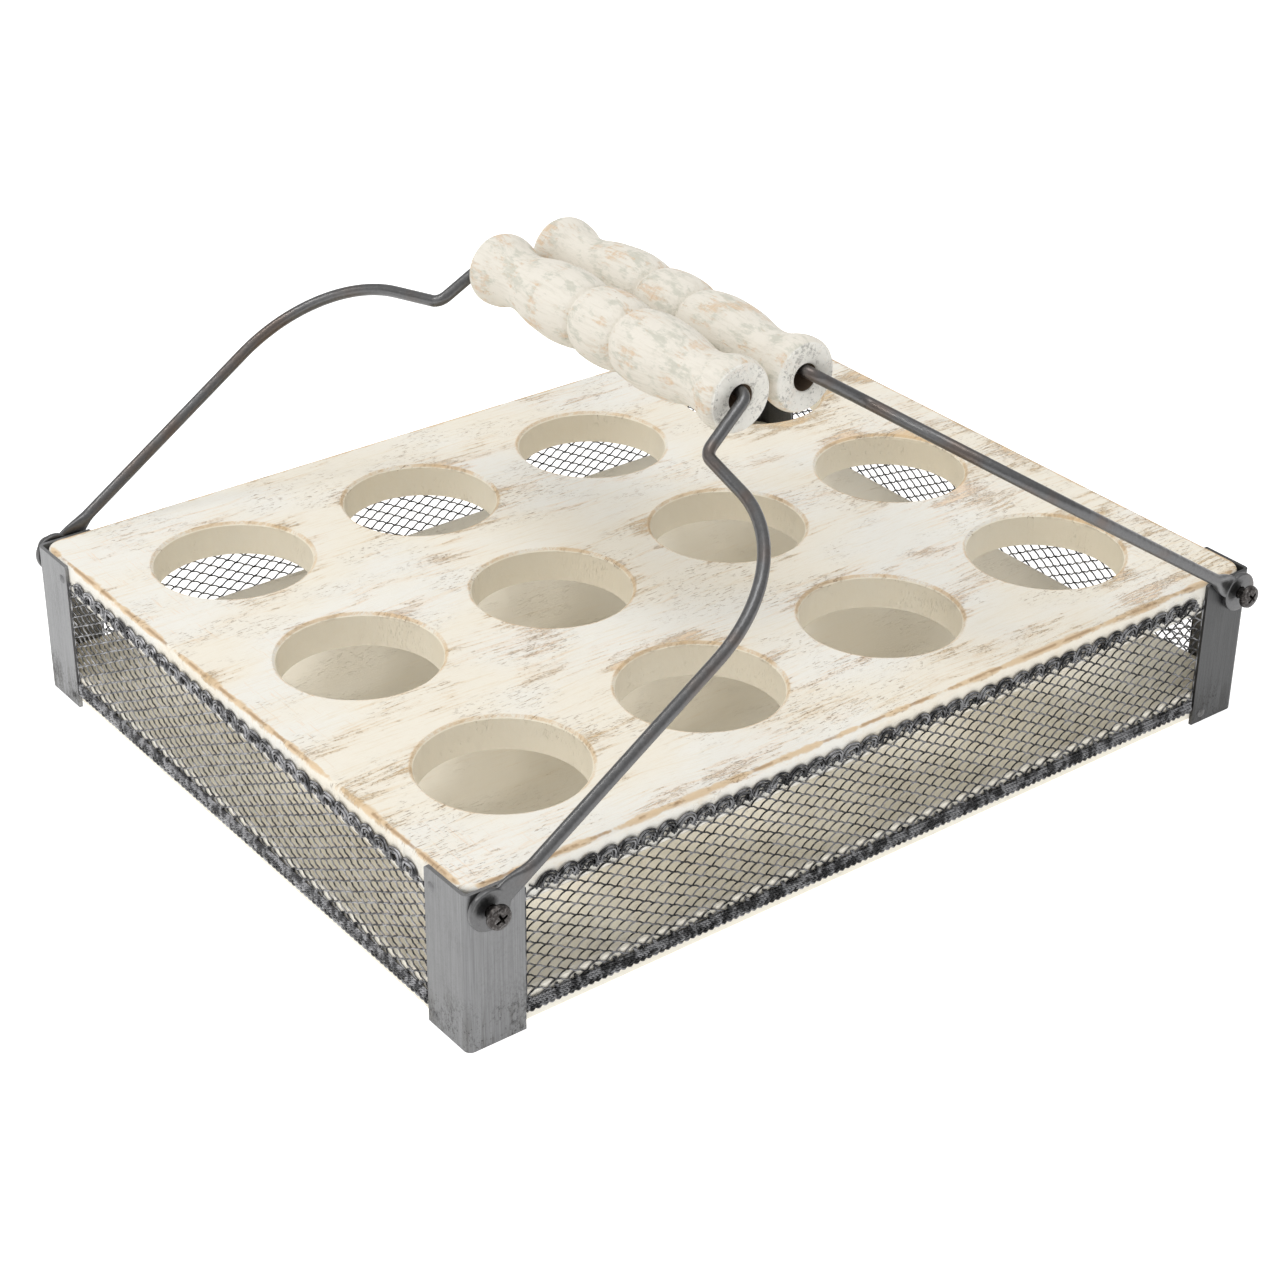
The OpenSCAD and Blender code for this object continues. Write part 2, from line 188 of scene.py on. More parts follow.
class Shader:
    """A material whose nodes are added one line at a time."""

    def __init__(self, name):
        self.material = bpy.data.materials.new(name)
        self.material.use_nodes = True
        self.tree = self.material.node_tree
        self.surface = self.tree.nodes["Principled BSDF"]
        coordinates = self.tree.nodes.new("ShaderNodeTexCoord").outputs["Object"]
        self.place = self.vector("SCALE", coordinates, scale=1 / MM)

    def connect(self, value, socket):
        if isinstance(value, bpy.types.NodeSocket):
            self.tree.links.new(value, socket)
        elif value is not None:
            socket.default_value = value

    def vector(self, operation, first, second=None, scale=None):
        node = self.tree.nodes.new("ShaderNodeVectorMath")
        node.operation = operation
        self.connect(first, node.inputs[0])
        self.connect(second, node.inputs[1])
        if scale is not None:
            self.connect(scale, node.inputs[3])
        return node.outputs["Value" if operation in ("LENGTH", "DOT_PRODUCT") else "Vector"]

    def math(self, operation, first, second=None, third=None):
        node = self.tree.nodes.new("ShaderNodeMath")
        node.operation = operation
        for value, socket in zip((first, second, third), node.inputs):
            self.connect(value, socket)
        return node.outputs[0]

    def add(self, *values):
        total = values[0]
        for value in values[1:]:
            total = self.math("ADD", total, value)
        return total

    def times(self, *values):
        total = values[0]
        for value in values[1:]:
            total = self.math("MULTIPLY", total, value)
        return total

    def axes(self, vector=None):
        node = self.tree.nodes.new("ShaderNodeSeparateXYZ")
        self.connect(vector or self.place, node.inputs[0])
        return node.outputs[0], node.outputs[1], node.outputs[2]

    def combine(self, x, y, z):
        node = self.tree.nodes.new("ShaderNodeCombineXYZ")
        for value, socket in zip((x, y, z), node.inputs):
            self.connect(value, socket)
        return node.outputs[0]

    def noise(self, size, detail=3.0, roughness=0.55, offset=0.0, place=None):
        """Noise from 0 to 1 with features about size long, in mm along X, Y and Z."""
        moved = self.vector("ADD", place or self.place, (offset, offset * 1.7, offset * 0.6))
        node = self.tree.nodes.new("ShaderNodeTexNoise")
        self.connect(self.vector("DIVIDE", moved, size), node.inputs["Vector"])
        node.inputs["Scale"].default_value = 1.0
        node.inputs["Detail"].default_value = detail
        node.inputs["Roughness"].default_value = roughness
        return node.outputs["Fac"]

    def spots(self, size, offset=0.0):
        """Distance to the nearest of scattered points, in cells of the given size."""
        moved = self.vector("ADD", self.place, (offset, offset, offset))
        node = self.tree.nodes.new("ShaderNodeTexVoronoi")
        self.connect(self.vector("DIVIDE", moved, size), node.inputs["Vector"])
        node.inputs["Scale"].default_value = 1.0
        return node.outputs["Distance"]

    def step(self, value, start, end, low=0.0, high=1.0):
        """Goes smoothly from low, where value is start, to high, where it is end."""
        node = self.tree.nodes.new("ShaderNodeMapRange")
        node.interpolation_type = "SMOOTHSTEP"
        self.connect(value, node.inputs["Value"])
        self.connect(start, node.inputs["From Min"])
        self.connect(end, node.inputs["From Max"])
        self.connect(low, node.inputs["To Min"])
        self.connect(high, node.inputs["To Max"])
        return node.outputs["Result"]

    def mix(self, share, first, second, blend="MIX"):
        node = self.tree.nodes.new("ShaderNodeMix")
        node.data_type = "RGBA"
        node.blend_type = blend
        self.connect(share, node.inputs["Factor"])
        for value, socket in ((first, node.inputs[6]), (second, node.inputs[7])):
            self.connect((*value, 1.0) if isinstance(value, tuple) else value, socket)
        return node.outputs[2]

    def bump(self, height, distance, strength=1.0, under=None):
        node = self.tree.nodes.new("ShaderNodeBump")
        node.inputs["Distance"].default_value = distance * MM
        node.inputs["Strength"].default_value = strength
        self.connect(height, node.inputs["Height"])
        if under is not None:
            self.tree.links.new(under, node.inputs["Normal"])
        return node.outputs["Normal"]

    def finish(self, **sockets):
        for name, value in sockets.items():
            self.connect(value, self.surface.inputs[name.replace("_", " ")])
        return self.material


# -------------------------------------------------------------------- materials

PAINT = (0.84, 0.79, 0.68)
PAINT_COOL = (0.83, 0.81, 0.745)
PAINT_THIN = (0.78, 0.69, 0.53)
TAN = (0.70, 0.51, 0.30)
ROSE_TAN = (0.84, 0.66, 0.50)
BARE_BROWN = (0.34, 0.20, 0.10)


def paint_masks(s, high, wear, exposed_and_shaded):
    """Where the whitewash is worn off, stained, scratched and specked, and more so at worn edges and rims, and
    where shade is painted in as extra stain and wear.
    """
    x = s.axes()[0]
    wander = s.noise((60, 30, 30), detail=2, offset=150)
    bent = s.vector("ADD", s.place, s.combine(0.0, s.times(s.math("SUBTRACT", wander, 0.5), 9.0), 0.0))
    broad = s.noise((30, 13, 12), detail=4, roughness=0.62, offset=5)
    streak = s.noise((16, 0.9, 4), detail=4, roughness=0.62, offset=12, place=bent)
    hatch = s.noise((3.6, 0.30, 2), detail=3, roughness=0.75, offset=40, place=bent)
    grit = s.noise((0.9, 0.55, 0.7), detail=3, roughness=0.8, offset=63)
    cloud = s.noise((58, 36, 20), detail=2, offset=90)

    ragged = s.add(
        s.times(broad, 0.85), s.times(streak, 0.36), s.times(hatch, 0.40), s.times(grit, 0.30), exposed_and_shaded,
    )
    bare = s.step(ragged, 1.105 - wear, 1.135 - wear)
    thinned = s.add(broad, s.times(streak, 0.70), s.times(grit, 0.2), exposed_and_shaded)
    rubbed = s.step(thinned, 0.98 - wear, 1.22 - wear)

    from_end = s.math("SUBTRACT", float(high[0]), s.math("ABSOLUTE", x))
    cross = s.noise((0.55, 11, 4), detail=3, roughness=0.7, offset=71)
    cross_zone = s.times(s.step(from_end, 34.0, 12.0), s.step(cloud, 0.40, 0.55))
    strokes = s.times(s.step(cross, 0.60, 0.66), cross_zone)

    dash_zone = s.step(s.noise((20, 14, 10), detail=2, offset=33), 0.46, 0.62)
    scratched = s.noise((2.4, 0.36, 1.5), detail=2, roughness=0.6, offset=107)
    dashes = s.times(s.step(scratched, 0.62, 0.66), dash_zone)
    specks = s.times(s.step(s.spots((2.2, 1.0, 1.4), offset=3), 0.10, 0.04), dash_zone)
    return {"streak": streak, "hatch": hatch, "grit": grit, "cloud": cloud, "broad": broad, "bare": bare,
            "rubbed": rubbed, "strokes": strokes, "dashes": s.math("MAXIMUM", dashes, specks)}


def arris_mask(s, high):
    """The worn line along the upper edge of a board: narrow, of uneven width, mostly on the top face."""
    x, y, z = s.axes()
    from_side = s.math("SUBTRACT", float(high[1]), s.math("ABSOLUTE", y))
    from_end = s.math("SUBTRACT", float(high[0]), s.math("ABSOLUTE", x))
    from_edge = s.math("MINIMUM", from_side, from_end)
    below_top = s.math("SUBTRACT", float(high[2]), z)
    distance = s.math("ABSOLUTE", s.add(from_edge, s.times(below_top, 1.9), -0.75))
    uneven = s.noise((13, 13, 13), detail=4, roughness=0.7, offset=122)
    width = s.step(uneven, 0.35, 0.70, 0.25, 1.9)
    line = s.step(distance, width, s.times(width, 0.25))
    broken = s.noise((7, 7, 7), detail=4, offset=131)
    core = s.times(s.step(distance, 0.42, 0.10), s.step(broken, 0.46, 0.56))
    return s.times(line, s.step(uneven, 0.30, 0.46)), core, from_edge, below_top


def from_nearest_hole(s, holes):
    """Distance in plan from the middle of the nearest egg hole."""
    x, y = s.axes()[:2]
    cell_x = s.math("PINGPONG", s.math("ADD", x, holes["x0"]), holes["pitch_x"] / 2)
    cell_y = s.math("PINGPONG", s.math("ADD", y, holes["y0"]), holes["pitch_y"] / 2)
    return s.math("SQRT", s.add(s.times(cell_x, cell_x), s.times(cell_y, cell_y)))


def board_paint(name, board, holes, wear, arris):
    """Brushed whitewash over wood, worn through along the arris, at hole rims and in streaky patches, with painted
    shade as more stain and wear towards the right end.
    """
    s = Shader(name)
    high = box_mm(board)[1]
    x = s.axes()[0]
    line, core, from_edge, below_top = arris_mask(s, high)
    # The rise towards the right end, x from 50 to 125 mm, is painted shade: more stain and wear there stand for
    # shadow.
    exposed_and_shaded = s.add(s.step(from_edge, 14.0, 2.0, 0.0, 0.03), s.step(x, 50.0, 125.0, 0.0, 0.06))
    if holes:
        from_hole = from_nearest_hole(s, holes)
        exposed_and_shaded = s.add(exposed_and_shaded, s.step(from_hole, holes["radius"] + 8, holes["radius"], 0.0, 0.07))
    m = paint_masks(s, high, wear, exposed_and_shaded)
    face = s.step(below_top, 1.5, 0.9)

    colour = s.mix(s.step(m["cloud"], 0.42, 0.62), PAINT, PAINT_COOL)
    colour = s.mix(s.times(s.step(m["streak"], 0.50, 0.72), 0.45), colour, PAINT_THIN)
    colour = s.mix(s.times(s.step(m["hatch"], 0.52, 0.70), 0.20), colour, TAN)
    stain = s.mix(s.step(m["cloud"], 0.40, 0.60), TAN, ROSE_TAN)
    colour = s.mix(s.times(m["rubbed"], face, 0.60), colour, stain)
    wood = s.mix(s.step(m["hatch"], 0.50, 0.62), stain, PAINT_THIN)
    wood = s.mix(s.times(s.step(m["grit"], 0.56, 0.66), 0.5), wood, BARE_BROWN)
    colour = s.mix(s.times(m["bare"], face, 0.85), colour, wood)
    colour = s.mix(s.times(m["strokes"], face, 0.55), colour, stain)
    if holes:
        rim = s.step(s.math("ABSOLUTE", s.math("SUBTRACT", from_hole, holes["radius"] + 0.55)), 0.75, 0.2)
        rim = s.times(rim, s.step(s.add(m["broad"], s.times(m["grit"], 0.5)), 0.58, 0.80))
        wall = s.step(from_hole, holes["radius"] + 0.35, holes["radius"] + 0.05)
        colour = s.mix(s.times(rim, 0.75), colour, TAN)
        colour = s.mix(s.times(wall, 0.80), colour, (0.85, 0.78, 0.63))
    colour = s.mix(s.times(line, 0.85 * arris), colour, TAN)
    colour = s.mix(s.times(core, 0.75 * arris), colour, BARE_BROWN)
    colour = s.mix(s.times(m["dashes"], face, 0.62), colour, BARE_BROWN)

    bare = s.times(m["bare"], face)
    height = s.add(
        s.times(m["streak"], 0.5), s.times(m["hatch"], 0.7), s.times(m["grit"], 0.3), s.times(bare, -0.8),
        s.times(m["dashes"], -0.8), s.times(line, -0.5),
    )
    # The bottom board is cream, and is mixed paler still to stand in for the light inside the tray: its own colour
    # plus painted light.
    if not holes:
        colour = s.mix(0.70, colour, (0.97, 0.92, 0.80))
    rough = s.step(bare, 0.0, 1.0, 0.58, 0.80)
    return s.finish(Base_Color=colour, Roughness=rough, Normal=s.bump(height, 0.16))


def grip_paint(name):
    """Whitewashed turned wood with faint tan patches and grey, speckled end faces."""
    s = Shader(name)
    high = box_mm("grip_left")[1]
    y = s.axes()[1]
    grain = s.noise((0.9, 16, 0.9), detail=4, roughness=0.6, offset=8)
    turning = s.noise((9, 0.5, 9), detail=3, offset=21)
    patches = s.noise((7, 12, 7), detail=4, roughness=0.6, offset=46)
    grey = s.noise((4, 8, 4), detail=4, roughness=0.65, offset=83)
    fine = s.noise((0.5, 2.4, 0.5), detail=4, roughness=0.7, offset=64)
    from_end = s.math("SUBTRACT", float(high[1]), s.math("ABSOLUTE", y))
    end_face = s.step(from_end, 0.55, 0.15)
    worn = s.step(s.add(patches, s.times(grain, 0.40), s.times(fine, 0.35)), 0.92, 1.06)
    wood = s.mix(s.step(turning, 0.4, 0.6), (0.66, 0.48, 0.30), (0.72, 0.58, 0.45))
    colour = s.mix(s.times(s.step(grain, 0.45, 0.68), 0.45), (0.75, 0.71, 0.63), (0.62, 0.58, 0.49))
    mottled = s.step(s.add(grey, s.times(fine, 0.35)), 0.66, 0.84)
    colour = s.mix(s.times(mottled, 0.68), colour, (0.50, 0.50, 0.42))
    colour = s.mix(s.times(worn, 0.78), colour, wood)
    end_noise = s.noise((0.8, 0.8, 0.8), detail=5, roughness=0.8, offset=17)
    end_cloud = s.noise((4, 4, 4), detail=2, offset=58)
    dark = s.times(end_face, s.step(s.add(end_noise, s.times(end_cloud, 0.5)), 0.76, 0.92))
    colour = s.mix(s.times(end_face, 0.65), colour, (0.86, 0.85, 0.80))
    colour = s.mix(s.times(dark, 0.62), colour, (0.17, 0.155, 0.14))
    dots = s.times(s.step(s.spots((2.4, 3.0, 2.4), offset=5), 0.12, 0.04), s.step(patches, 0.52, 0.60))
    colour = s.mix(s.times(dots, 0.6), colour, (0.30, 0.22, 0.15))
    height = s.add(s.times(grain, 0.6), s.times(turning, 0.5), s.times(fine, 0.6), s.times(worn, -0.6))
    return s.finish(Base_Color=colour, Roughness=0.66, Normal=s.bump(height, 0.2))


def painted_shade_bore_wood(name):
    """Wood grain inside the hole of a grip, painted near black as shade."""
    s = Shader(name)
    grain = s.noise((0.8, 9, 0.8), detail=4)
    colour = s.mix(grain, (0.06, 0.04, 0.025), (0.16, 0.11, 0.07))
    return s.finish(Base_Color=colour, Roughness=0.85, Normal=s.bump(grain, 0.2))


def bracket_steel(name, tone):
    """Satin sheet steel with upright brushing, a stained foot and dark mottling."""
    s = Shader(name)
    z = s.axes()[2]
    brushed = s.noise((0.24, 0.24, 20), detail=4, roughness=0.75, offset=14)
    cloud = s.noise((8, 8, 13), detail=3, offset=52)
    mottle = s.noise((0.7, 0.7, 1.0), detail=4, roughness=0.85, offset=6)
    runs = s.noise((1.6, 1.6, 14), detail=3, offset=95)
    foot = s.step(z, 17.0, 0.5)
    dirt = s.times(s.step(s.add(mottle, s.times(cloud, 0.5)), 0.74, 0.92), s.add(s.times(foot, 0.9), 0.14))
    light = tuple(tone * k for k in (1.18, 1.19, 1.20))
    dull = tuple(tone * k for k in (0.70, 0.70, 0.71))
    colour = s.mix(s.add(s.times(s.step(brushed, 0.30, 0.70), 0.75), s.times(cloud, 0.3)), dull, light)
    stained = tuple(tone * k for k in (0.38, 0.36, 0.33))
    colour = s.mix(s.times(s.step(runs, 0.46, 0.66), foot, 0.6), colour, stained)
    colour = s.mix(s.times(dirt, 0.8), colour, (0.03, 0.027, 0.024))
    rough = s.add(s.times(brushed, 0.18), s.times(cloud, 0.14), s.times(dirt, 0.15), 0.28)
    height = s.add(s.times(brushed, 0.8), s.times(mottle, 0.5))
    return s.finish(Base_Color=colour, Metallic=0.85, Roughness=rough, Normal=s.bump(height, 0.06))


def rod_steel(name, tone):
    """Drawn steel rod, dark and half glossy, with faint brown heat marks and hammer spots."""
    s = Shader(name)
    drawn = s.noise((0.8, 0.8, 0.8), detail=5, roughness=0.7, offset=31)
    cloud = s.noise((16, 16, 16), detail=2, offset=77)
    hammered = s.spots((2.6, 2.6, 2.6), offset=44)
    dull = tuple(tone * k for k in (0.62, 0.62, 0.62))
    light = tuple(tone * k for k in (1.3, 1.3, 1.32))
    colour = s.mix(drawn, dull, light)
    colour = s.mix(s.times(s.step(cloud, 0.50, 0.68), 0.5), colour, (0.15, 0.105, 0.08))
    rough = s.add(s.times(drawn, 0.20), s.times(cloud, 0.12), 0.17)
    height = s.add(s.times(drawn, 0.5), s.times(hammered, 0.8))
    return s.finish(Base_Color=colour, Metallic=0.95, Roughness=rough, Normal=s.bump(height, 0.09))


def wire_steel(name, dark, bright):
    """Thin annealed wire: near black, with brighter stretches that are partly rubbed metal and partly painted
    highlights.
    """
    s = Shader(name)
    rubbed = s.noise((2.6, 2.6, 2.6), detail=3, offset=19)
    cloud = s.noise((20, 20, 20), detail=2, offset=61)
    # The brighter stretches stand for rubbed metal and also for painted highlights along the wires.
    colour = s.mix(s.step(rubbed, 0.42, 0.62), (dark, dark, dark * 1.04), (bright, bright, bright * 1.03))
    rough = s.add(s.times(rubbed, 0.2), s.times(cloud, 0.2), 0.16)
    return s.finish(Base_Color=colour, Metallic=0.9, Roughness=rough)


def screw_steel(name):
    """Blackened steel, rubbed to grey in places."""
    s = Shader(name)
    wear = s.noise((0.7, 0.7, 0.7), detail=4, roughness=0.7, offset=23)
    colour = s.mix(s.step(wear, 0.45, 0.75), (0.045, 0.04, 0.038), (0.19, 0.18, 0.175))
    rough = s.add(s.times(wear, 0.2), 0.22)
    return s.finish(Base_Color=colour, Metallic=0.95, Roughness=rough, Normal=s.bump(wear, 0.03))


# ----------------------------------------------------------------------- boards


def hole_grid():
    """The egg holes' radius, spacing and phase, from the record's bore mounts."""
    mounts = [m for m in frame["record"]["mounts"] if m["name"].startswith("egg_hole")]
    places = np.array([m["pos_m"] for m in mounts]) / MM
    xs = np.unique(places[:, 0].round(3))
    ys = np.unique(places[:, 1].round(3))
    return {
        "radius": float(mounts[0]["dims"]["r_mm"]),
        "pitch_x": float(xs[1] - xs[0]),
        "pitch_y": float(ys[1] - ys[0]),
        "x0": float(-xs[0]) + float(xs[1] - xs[0]) * 4,
        "y0": float(-ys[0]) + float(ys[1] - ys[0]) * 4,
    }


def set_material(node, material):
    """Gives a CAD node one material in place of its own."""
    slots = frame["nodes"][node].data.materials
    slots.clear()
    slots.append(material)


set_material("top_board", board_paint("Top_paint", "top_board", hole_grid(), 0.0, 1.0))
set_material("bottom_board", board_paint("Bottom_paint_and_light", "bottom_board", None, -0.06, 0.15))


# --------------------------------------------------------------------- brackets

# One steel in four tones by corner, as painted light and shade: back_left is painted lighter as if lit from the
# left, and front_right near black as if in shade.
BRACKET_LIT_AND_SHADED_TONES = {"front_left": 0.23, "back_left": 0.27, "front_right": 0.09, "back_right": 0.22}

for corner, tone in BRACKET_LIT_AND_SHADED_TONES.items():
    set_material("bracket_" + corner, bracket_steel("Bracket_steel_lit_and_shaded_" + corner, tone))

nail_steel = bracket_steel("Nail_steel", 0.22)
for row in ("nails_long_sides", "nails_short_sides_upper", "nails_short_sides_lower"):
    set_material(row, nail_steel)


# ---------------------------------------------------------------------- netting

DIAMOND_W = 5.6
DIAMOND_H = 3.1
LONG_WIRE_R = 0.225
ARC_WIRE_R = 0.205
NET_MIDDLE = 0.42
NET_SIDE_GAP = 0.3
LATTICE_ABOVE_FOOT = 2.6
LATTICE_BELOW_TOP = 2.5
HEM_BELOW_TOP = 0.6
LOWER_KNOTS = 3.6
UPPER_KNOTS = 3.2
KNOT_TURNS = 2
# The plaits of the lower hem: height above the foot, pitch, half height, half depth, wire radius.
HEM_BRAIDS = (
    (0.95, DIAMOND_W, 0.66, 0.28, 0.30),
    (2.2, DIAMOND_W / 2, 0.50, 0.26, 0.24),
    (3.3, DIAMOND_W / 2, 0.40, 0.22, 0.20),
)
# Each panel's direction along it, its outward direction, and which way its long wires lean.
PANELS = {
    "front": ((1, 0, 0), (0, -1, 0), 1),
    "back": ((-1, 0, 0), (0, 1, 0), 1),
    "left": ((0, -1, 0), (-1, 0, 0), -1),
    "right": ((0, 1, 0), (1, 0, 0), -1),
}


def lattice(half, low, high, lean, panel_seed):
    """Diamond mesh of long wavy wires and the short arcs between them, as (u, outward, z) tubes."""
    tubes = []
    run = DIAMOND_W / 2
    rise = DIAMOND_H / 2
    outward = (0, 1, 0)

    def bent(u, z):
        du = 0.22 * smooth_noise(u / 14, z / 9, panel_seed)
        dz = 0.30 * smooth_noise(u / 17, z / 11, panel_seed + 5)
        return u + du, z + dz

    lines = int((high - low) / DIAMOND_H + half / run / 2) + 2
    reach = int(half / run) * 3
    for line in range(-lines, lines + int(half / run) + 2):
        points = []
        for step in range(-reach - 6, reach + 7):
            u = step * run / 3
            z = low + line * DIAMOND_H - lean * u * rise / run
            if not low - 0.8 <= z <= high + 0.8:
                continue
            z += 0.16 * math.sin(2 * math.pi * (step % 3) / 3)
            bu, bz = bent(u, z)
            if abs(bu) <= half:
                points.append((bu, NET_MIDDLE + 0.07 * math.cos(2 * math.pi * step / 3), bz))
        if len(points) > 2:
            tubes.append(sweep(points, outward, LONG_WIRE_R, LONG_WIRE_R, 6))
    for column in range(int(-half / run) - 1, int(half / run) + 1):
        for row in range(-1, int((high - low) / DIAMOND_H) + 1):
            u0 = column * run
            z0 = low + row * DIAMOND_H + (column % 2) * rise
            if z0 < low - 0.8 or z0 + rise > high + 0.8:
                continue
            points = []
            for t in (0, 0.2, 0.4, 0.6, 0.8, 1):
                bulge = 0.34 * math.sin(math.pi * t)
                u = u0 + t * run if lean > 0 else u0 + run - t * run
                bu, bz = bent(u - lean * bulge * 0.5, z0 + t * rise + bulge * 0.8)
                points.append((bu, NET_MIDDLE - 0.12 - 0.06 * math.sin(math.pi * t), bz))
            if max(abs(p[0]) for p in points) <= half:
                tubes.append(sweep(points, outward, ARC_WIRE_R, ARC_WIRE_R, 6))
    return tubes


def braid(half, z, pitch, height, depth, wire, middle=0.65, step=0.32):
    """Three strands plaited along the panel."""
    tubes = []
    u = np.arange(-half, half + step / 2, step)
    for strand in range(3):
        phase = 2 * math.pi * (u / pitch + strand / 3)
        points = np.stack([u, middle + depth * np.sin(2 * phase), z + height * np.sin(phase)], axis=1)
        tubes.append(sweep(points, (0, 1, 0), wire, wire, 6))
    return tubes


def knot(u, z, lean, length, turns, start):
    """Two wires twisted round each other, leaning along the panel."""
    tubes = []
    t = np.linspace(0, 1, 8 * turns + 1)
    for strand in (0, math.pi):
        a = 2 * math.pi * turns * t + start + strand
        points = np.stack([
            u + lean * 0.5 * length * (t - 0.5) + 0.40 * np.cos(a),
            0.62 + 0.34 * np.sin(a),
            z + length * (t - 0.5),
        ], axis=1)
        tubes.append(sweep(points, (0, 1, 0), 0.23, 0.23, 6))
    return tubes


def knot_row(half, z, lean, length, turns, panel_seed, phase=0.0):
    """Knots a diamond apart along the panel."""
    tubes = []
    count = int((2 * half - 1) / DIAMOND_W)
    for i in range(count):
        u = (i - (count - 1) / 2 + phase) * DIAMOND_W
        if abs(u) < half - 1:
            shift = 0.3 * smooth_noise(i * 0.9, 2, panel_seed)
            tubes += knot(u + shift, z + shift * 0.5, lean, length, turns, 2.4 * i)
    return tubes


def hem_loops(half, top, lean, panel_seed):
    """Row of leaning loops along the upper edge: nested arches of wire on each diamond, tied below."""
    tubes = []
    foot = top - 2.5
    loops = int((2 * half - 1) / DIAMOND_W)
    for i in range(loops):
        centre = (i - (loops - 1) / 2) * DIAMOND_W
        wobble = smooth_noise(i * 0.7, 0, panel_seed)
        for radius, wire, out in ((2.45, 0.33, 0.50), (1.78, 0.30, 0.86), (1.12, 0.26, 0.56)):
            points = []
            for a in np.radians(np.linspace(-38, 212, 16)):
                up = radius * (0.86 + 0.05 * wobble) * math.sin(a)
                points.append((
                    centre + radius * 1.12 * math.cos(a) + lean * 0.30 * up,
                    out + 0.14 * math.sin(3 * a + i),
                    foot + up,
                ))
            tubes.append(sweep(points, (0, 1, 0), wire, wire, 6))
        strand = []
        for t in np.linspace(0, 1, 26):
            a = 2 * math.pi * 2.5 * t + i
            strand.append((
                centre - 2.2 + 4.4 * t,
                0.70 + 0.34 * math.sin(a),
                foot - 0.35 + 0.46 * math.cos(a),
            ))
        tubes.append(sweep(strand, (0, 1, 0), 0.24, 0.24, 6))
    return tubes


def netting(side, wire):
    """One panel: the lattice, braided hem, upper loops, and an upright wire at each end."""
    along, out, lean = PANELS[side]
    along = np.array(along, float)
    out = np.array(out, float)
    low, high = box_mm("netting_" + side)
    half = float(np.abs((high - low) @ along)) / 2
    inner = float(min(np.abs(low @ out), np.abs(high @ out)))
    panel_seed = list(PANELS).index(side) * 10.0
    bottom = low[2]
    top = high[2] - HEM_BELOW_TOP
    tied = half - NET_SIDE_GAP
    tubes = lattice(half - 0.2, bottom + LATTICE_ABOVE_FOOT, top - LATTICE_BELOW_TOP, lean, panel_seed)
    for above, pitch, height, depth, strand in HEM_BRAIDS:
        tubes += braid(tied, bottom + above, pitch, height, depth, strand)
    tubes += knot_row(tied, bottom + LOWER_KNOTS, -lean, 2.4, KNOT_TURNS, panel_seed + 3, 0.5)
    tubes += knot_row(tied, top - UPPER_KNOTS, lean, 1.7, KNOT_TURNS, panel_seed, 0.5)
    tubes += hem_loops(tied, top, lean, panel_seed)
    for end in (-1, 1):
        upright = [(end * tied, 0.4, z) for z in np.linspace(bottom + 1, top - 2, 20)]
        tubes.append(sweep(upright, (0, 1, 0), 0.22, 0.22, 6))
    basis = np.stack([along, out, np.array((0, 0, 1.0))])
    origin = out * inner
    placed = [(points @ basis + origin, faces) for points, faces in tubes]
    piece("Netting_" + side, placed, wire, "tray", ["netting_" + side], 80)


# The left panel gets a paler copy of the same wire: painted light, as the lamps light that side more.
net_wire = wire_steel("Netting_wire", 0.035, 0.25)
net_wire_painted_lit = wire_steel("Netting_wire_painted_lit", 0.07, 0.38)
for side in PANELS:
    netting(side, net_wire_painted_lit if side == "left" else net_wire)


# ---------------------------------------------------------------------- handles
# All in mm. KINK_FALL is how far the shoulder's kink lies nearer to the pivots than the grip does.

ROD_R = 1.6
EYE_BORE_R = 1.58
EYE_T = 1.6
SHOULDER_R = 38.0
SLOPE = 12.0
KINK_FALL = 18.0
KINK_PAST_GRIP = 5.3
RISE_PAST_GRIP = 2.3
ROD_FOOT = 2.6
FLAT_TO = 14.0
FLAT_FADE = 8.0
PADDLE_SPREAD = 1.45
PADDLE_UNEVEN = 0.16
EYE_CHAMFER = 0.15
GRIP_LENGTH = 102.0
GRIP_R = 10.0


def handle_frame(side):
    """Pivot, the direction and distance from it to the grip, and the rod's furthest point along Y."""
    pivot = joint_mm("handle_" + side)
    grip = joint_mm(f"grip_{side}_spin")
    sign = 1 if pivot[0] > 0 else -1
    high = box_mm("handle_wire_" + side)[1]
    lean = math.atan2(abs(pivot[0] - grip[0]), high[2] - ROD_R - pivot[2])
    reach = abs(pivot[0] - grip[0]) / math.sin(lean)
    direction = np.array((-sign * math.sin(lean), 0, math.cos(lean)))
    return pivot, direction, reach, high[1]


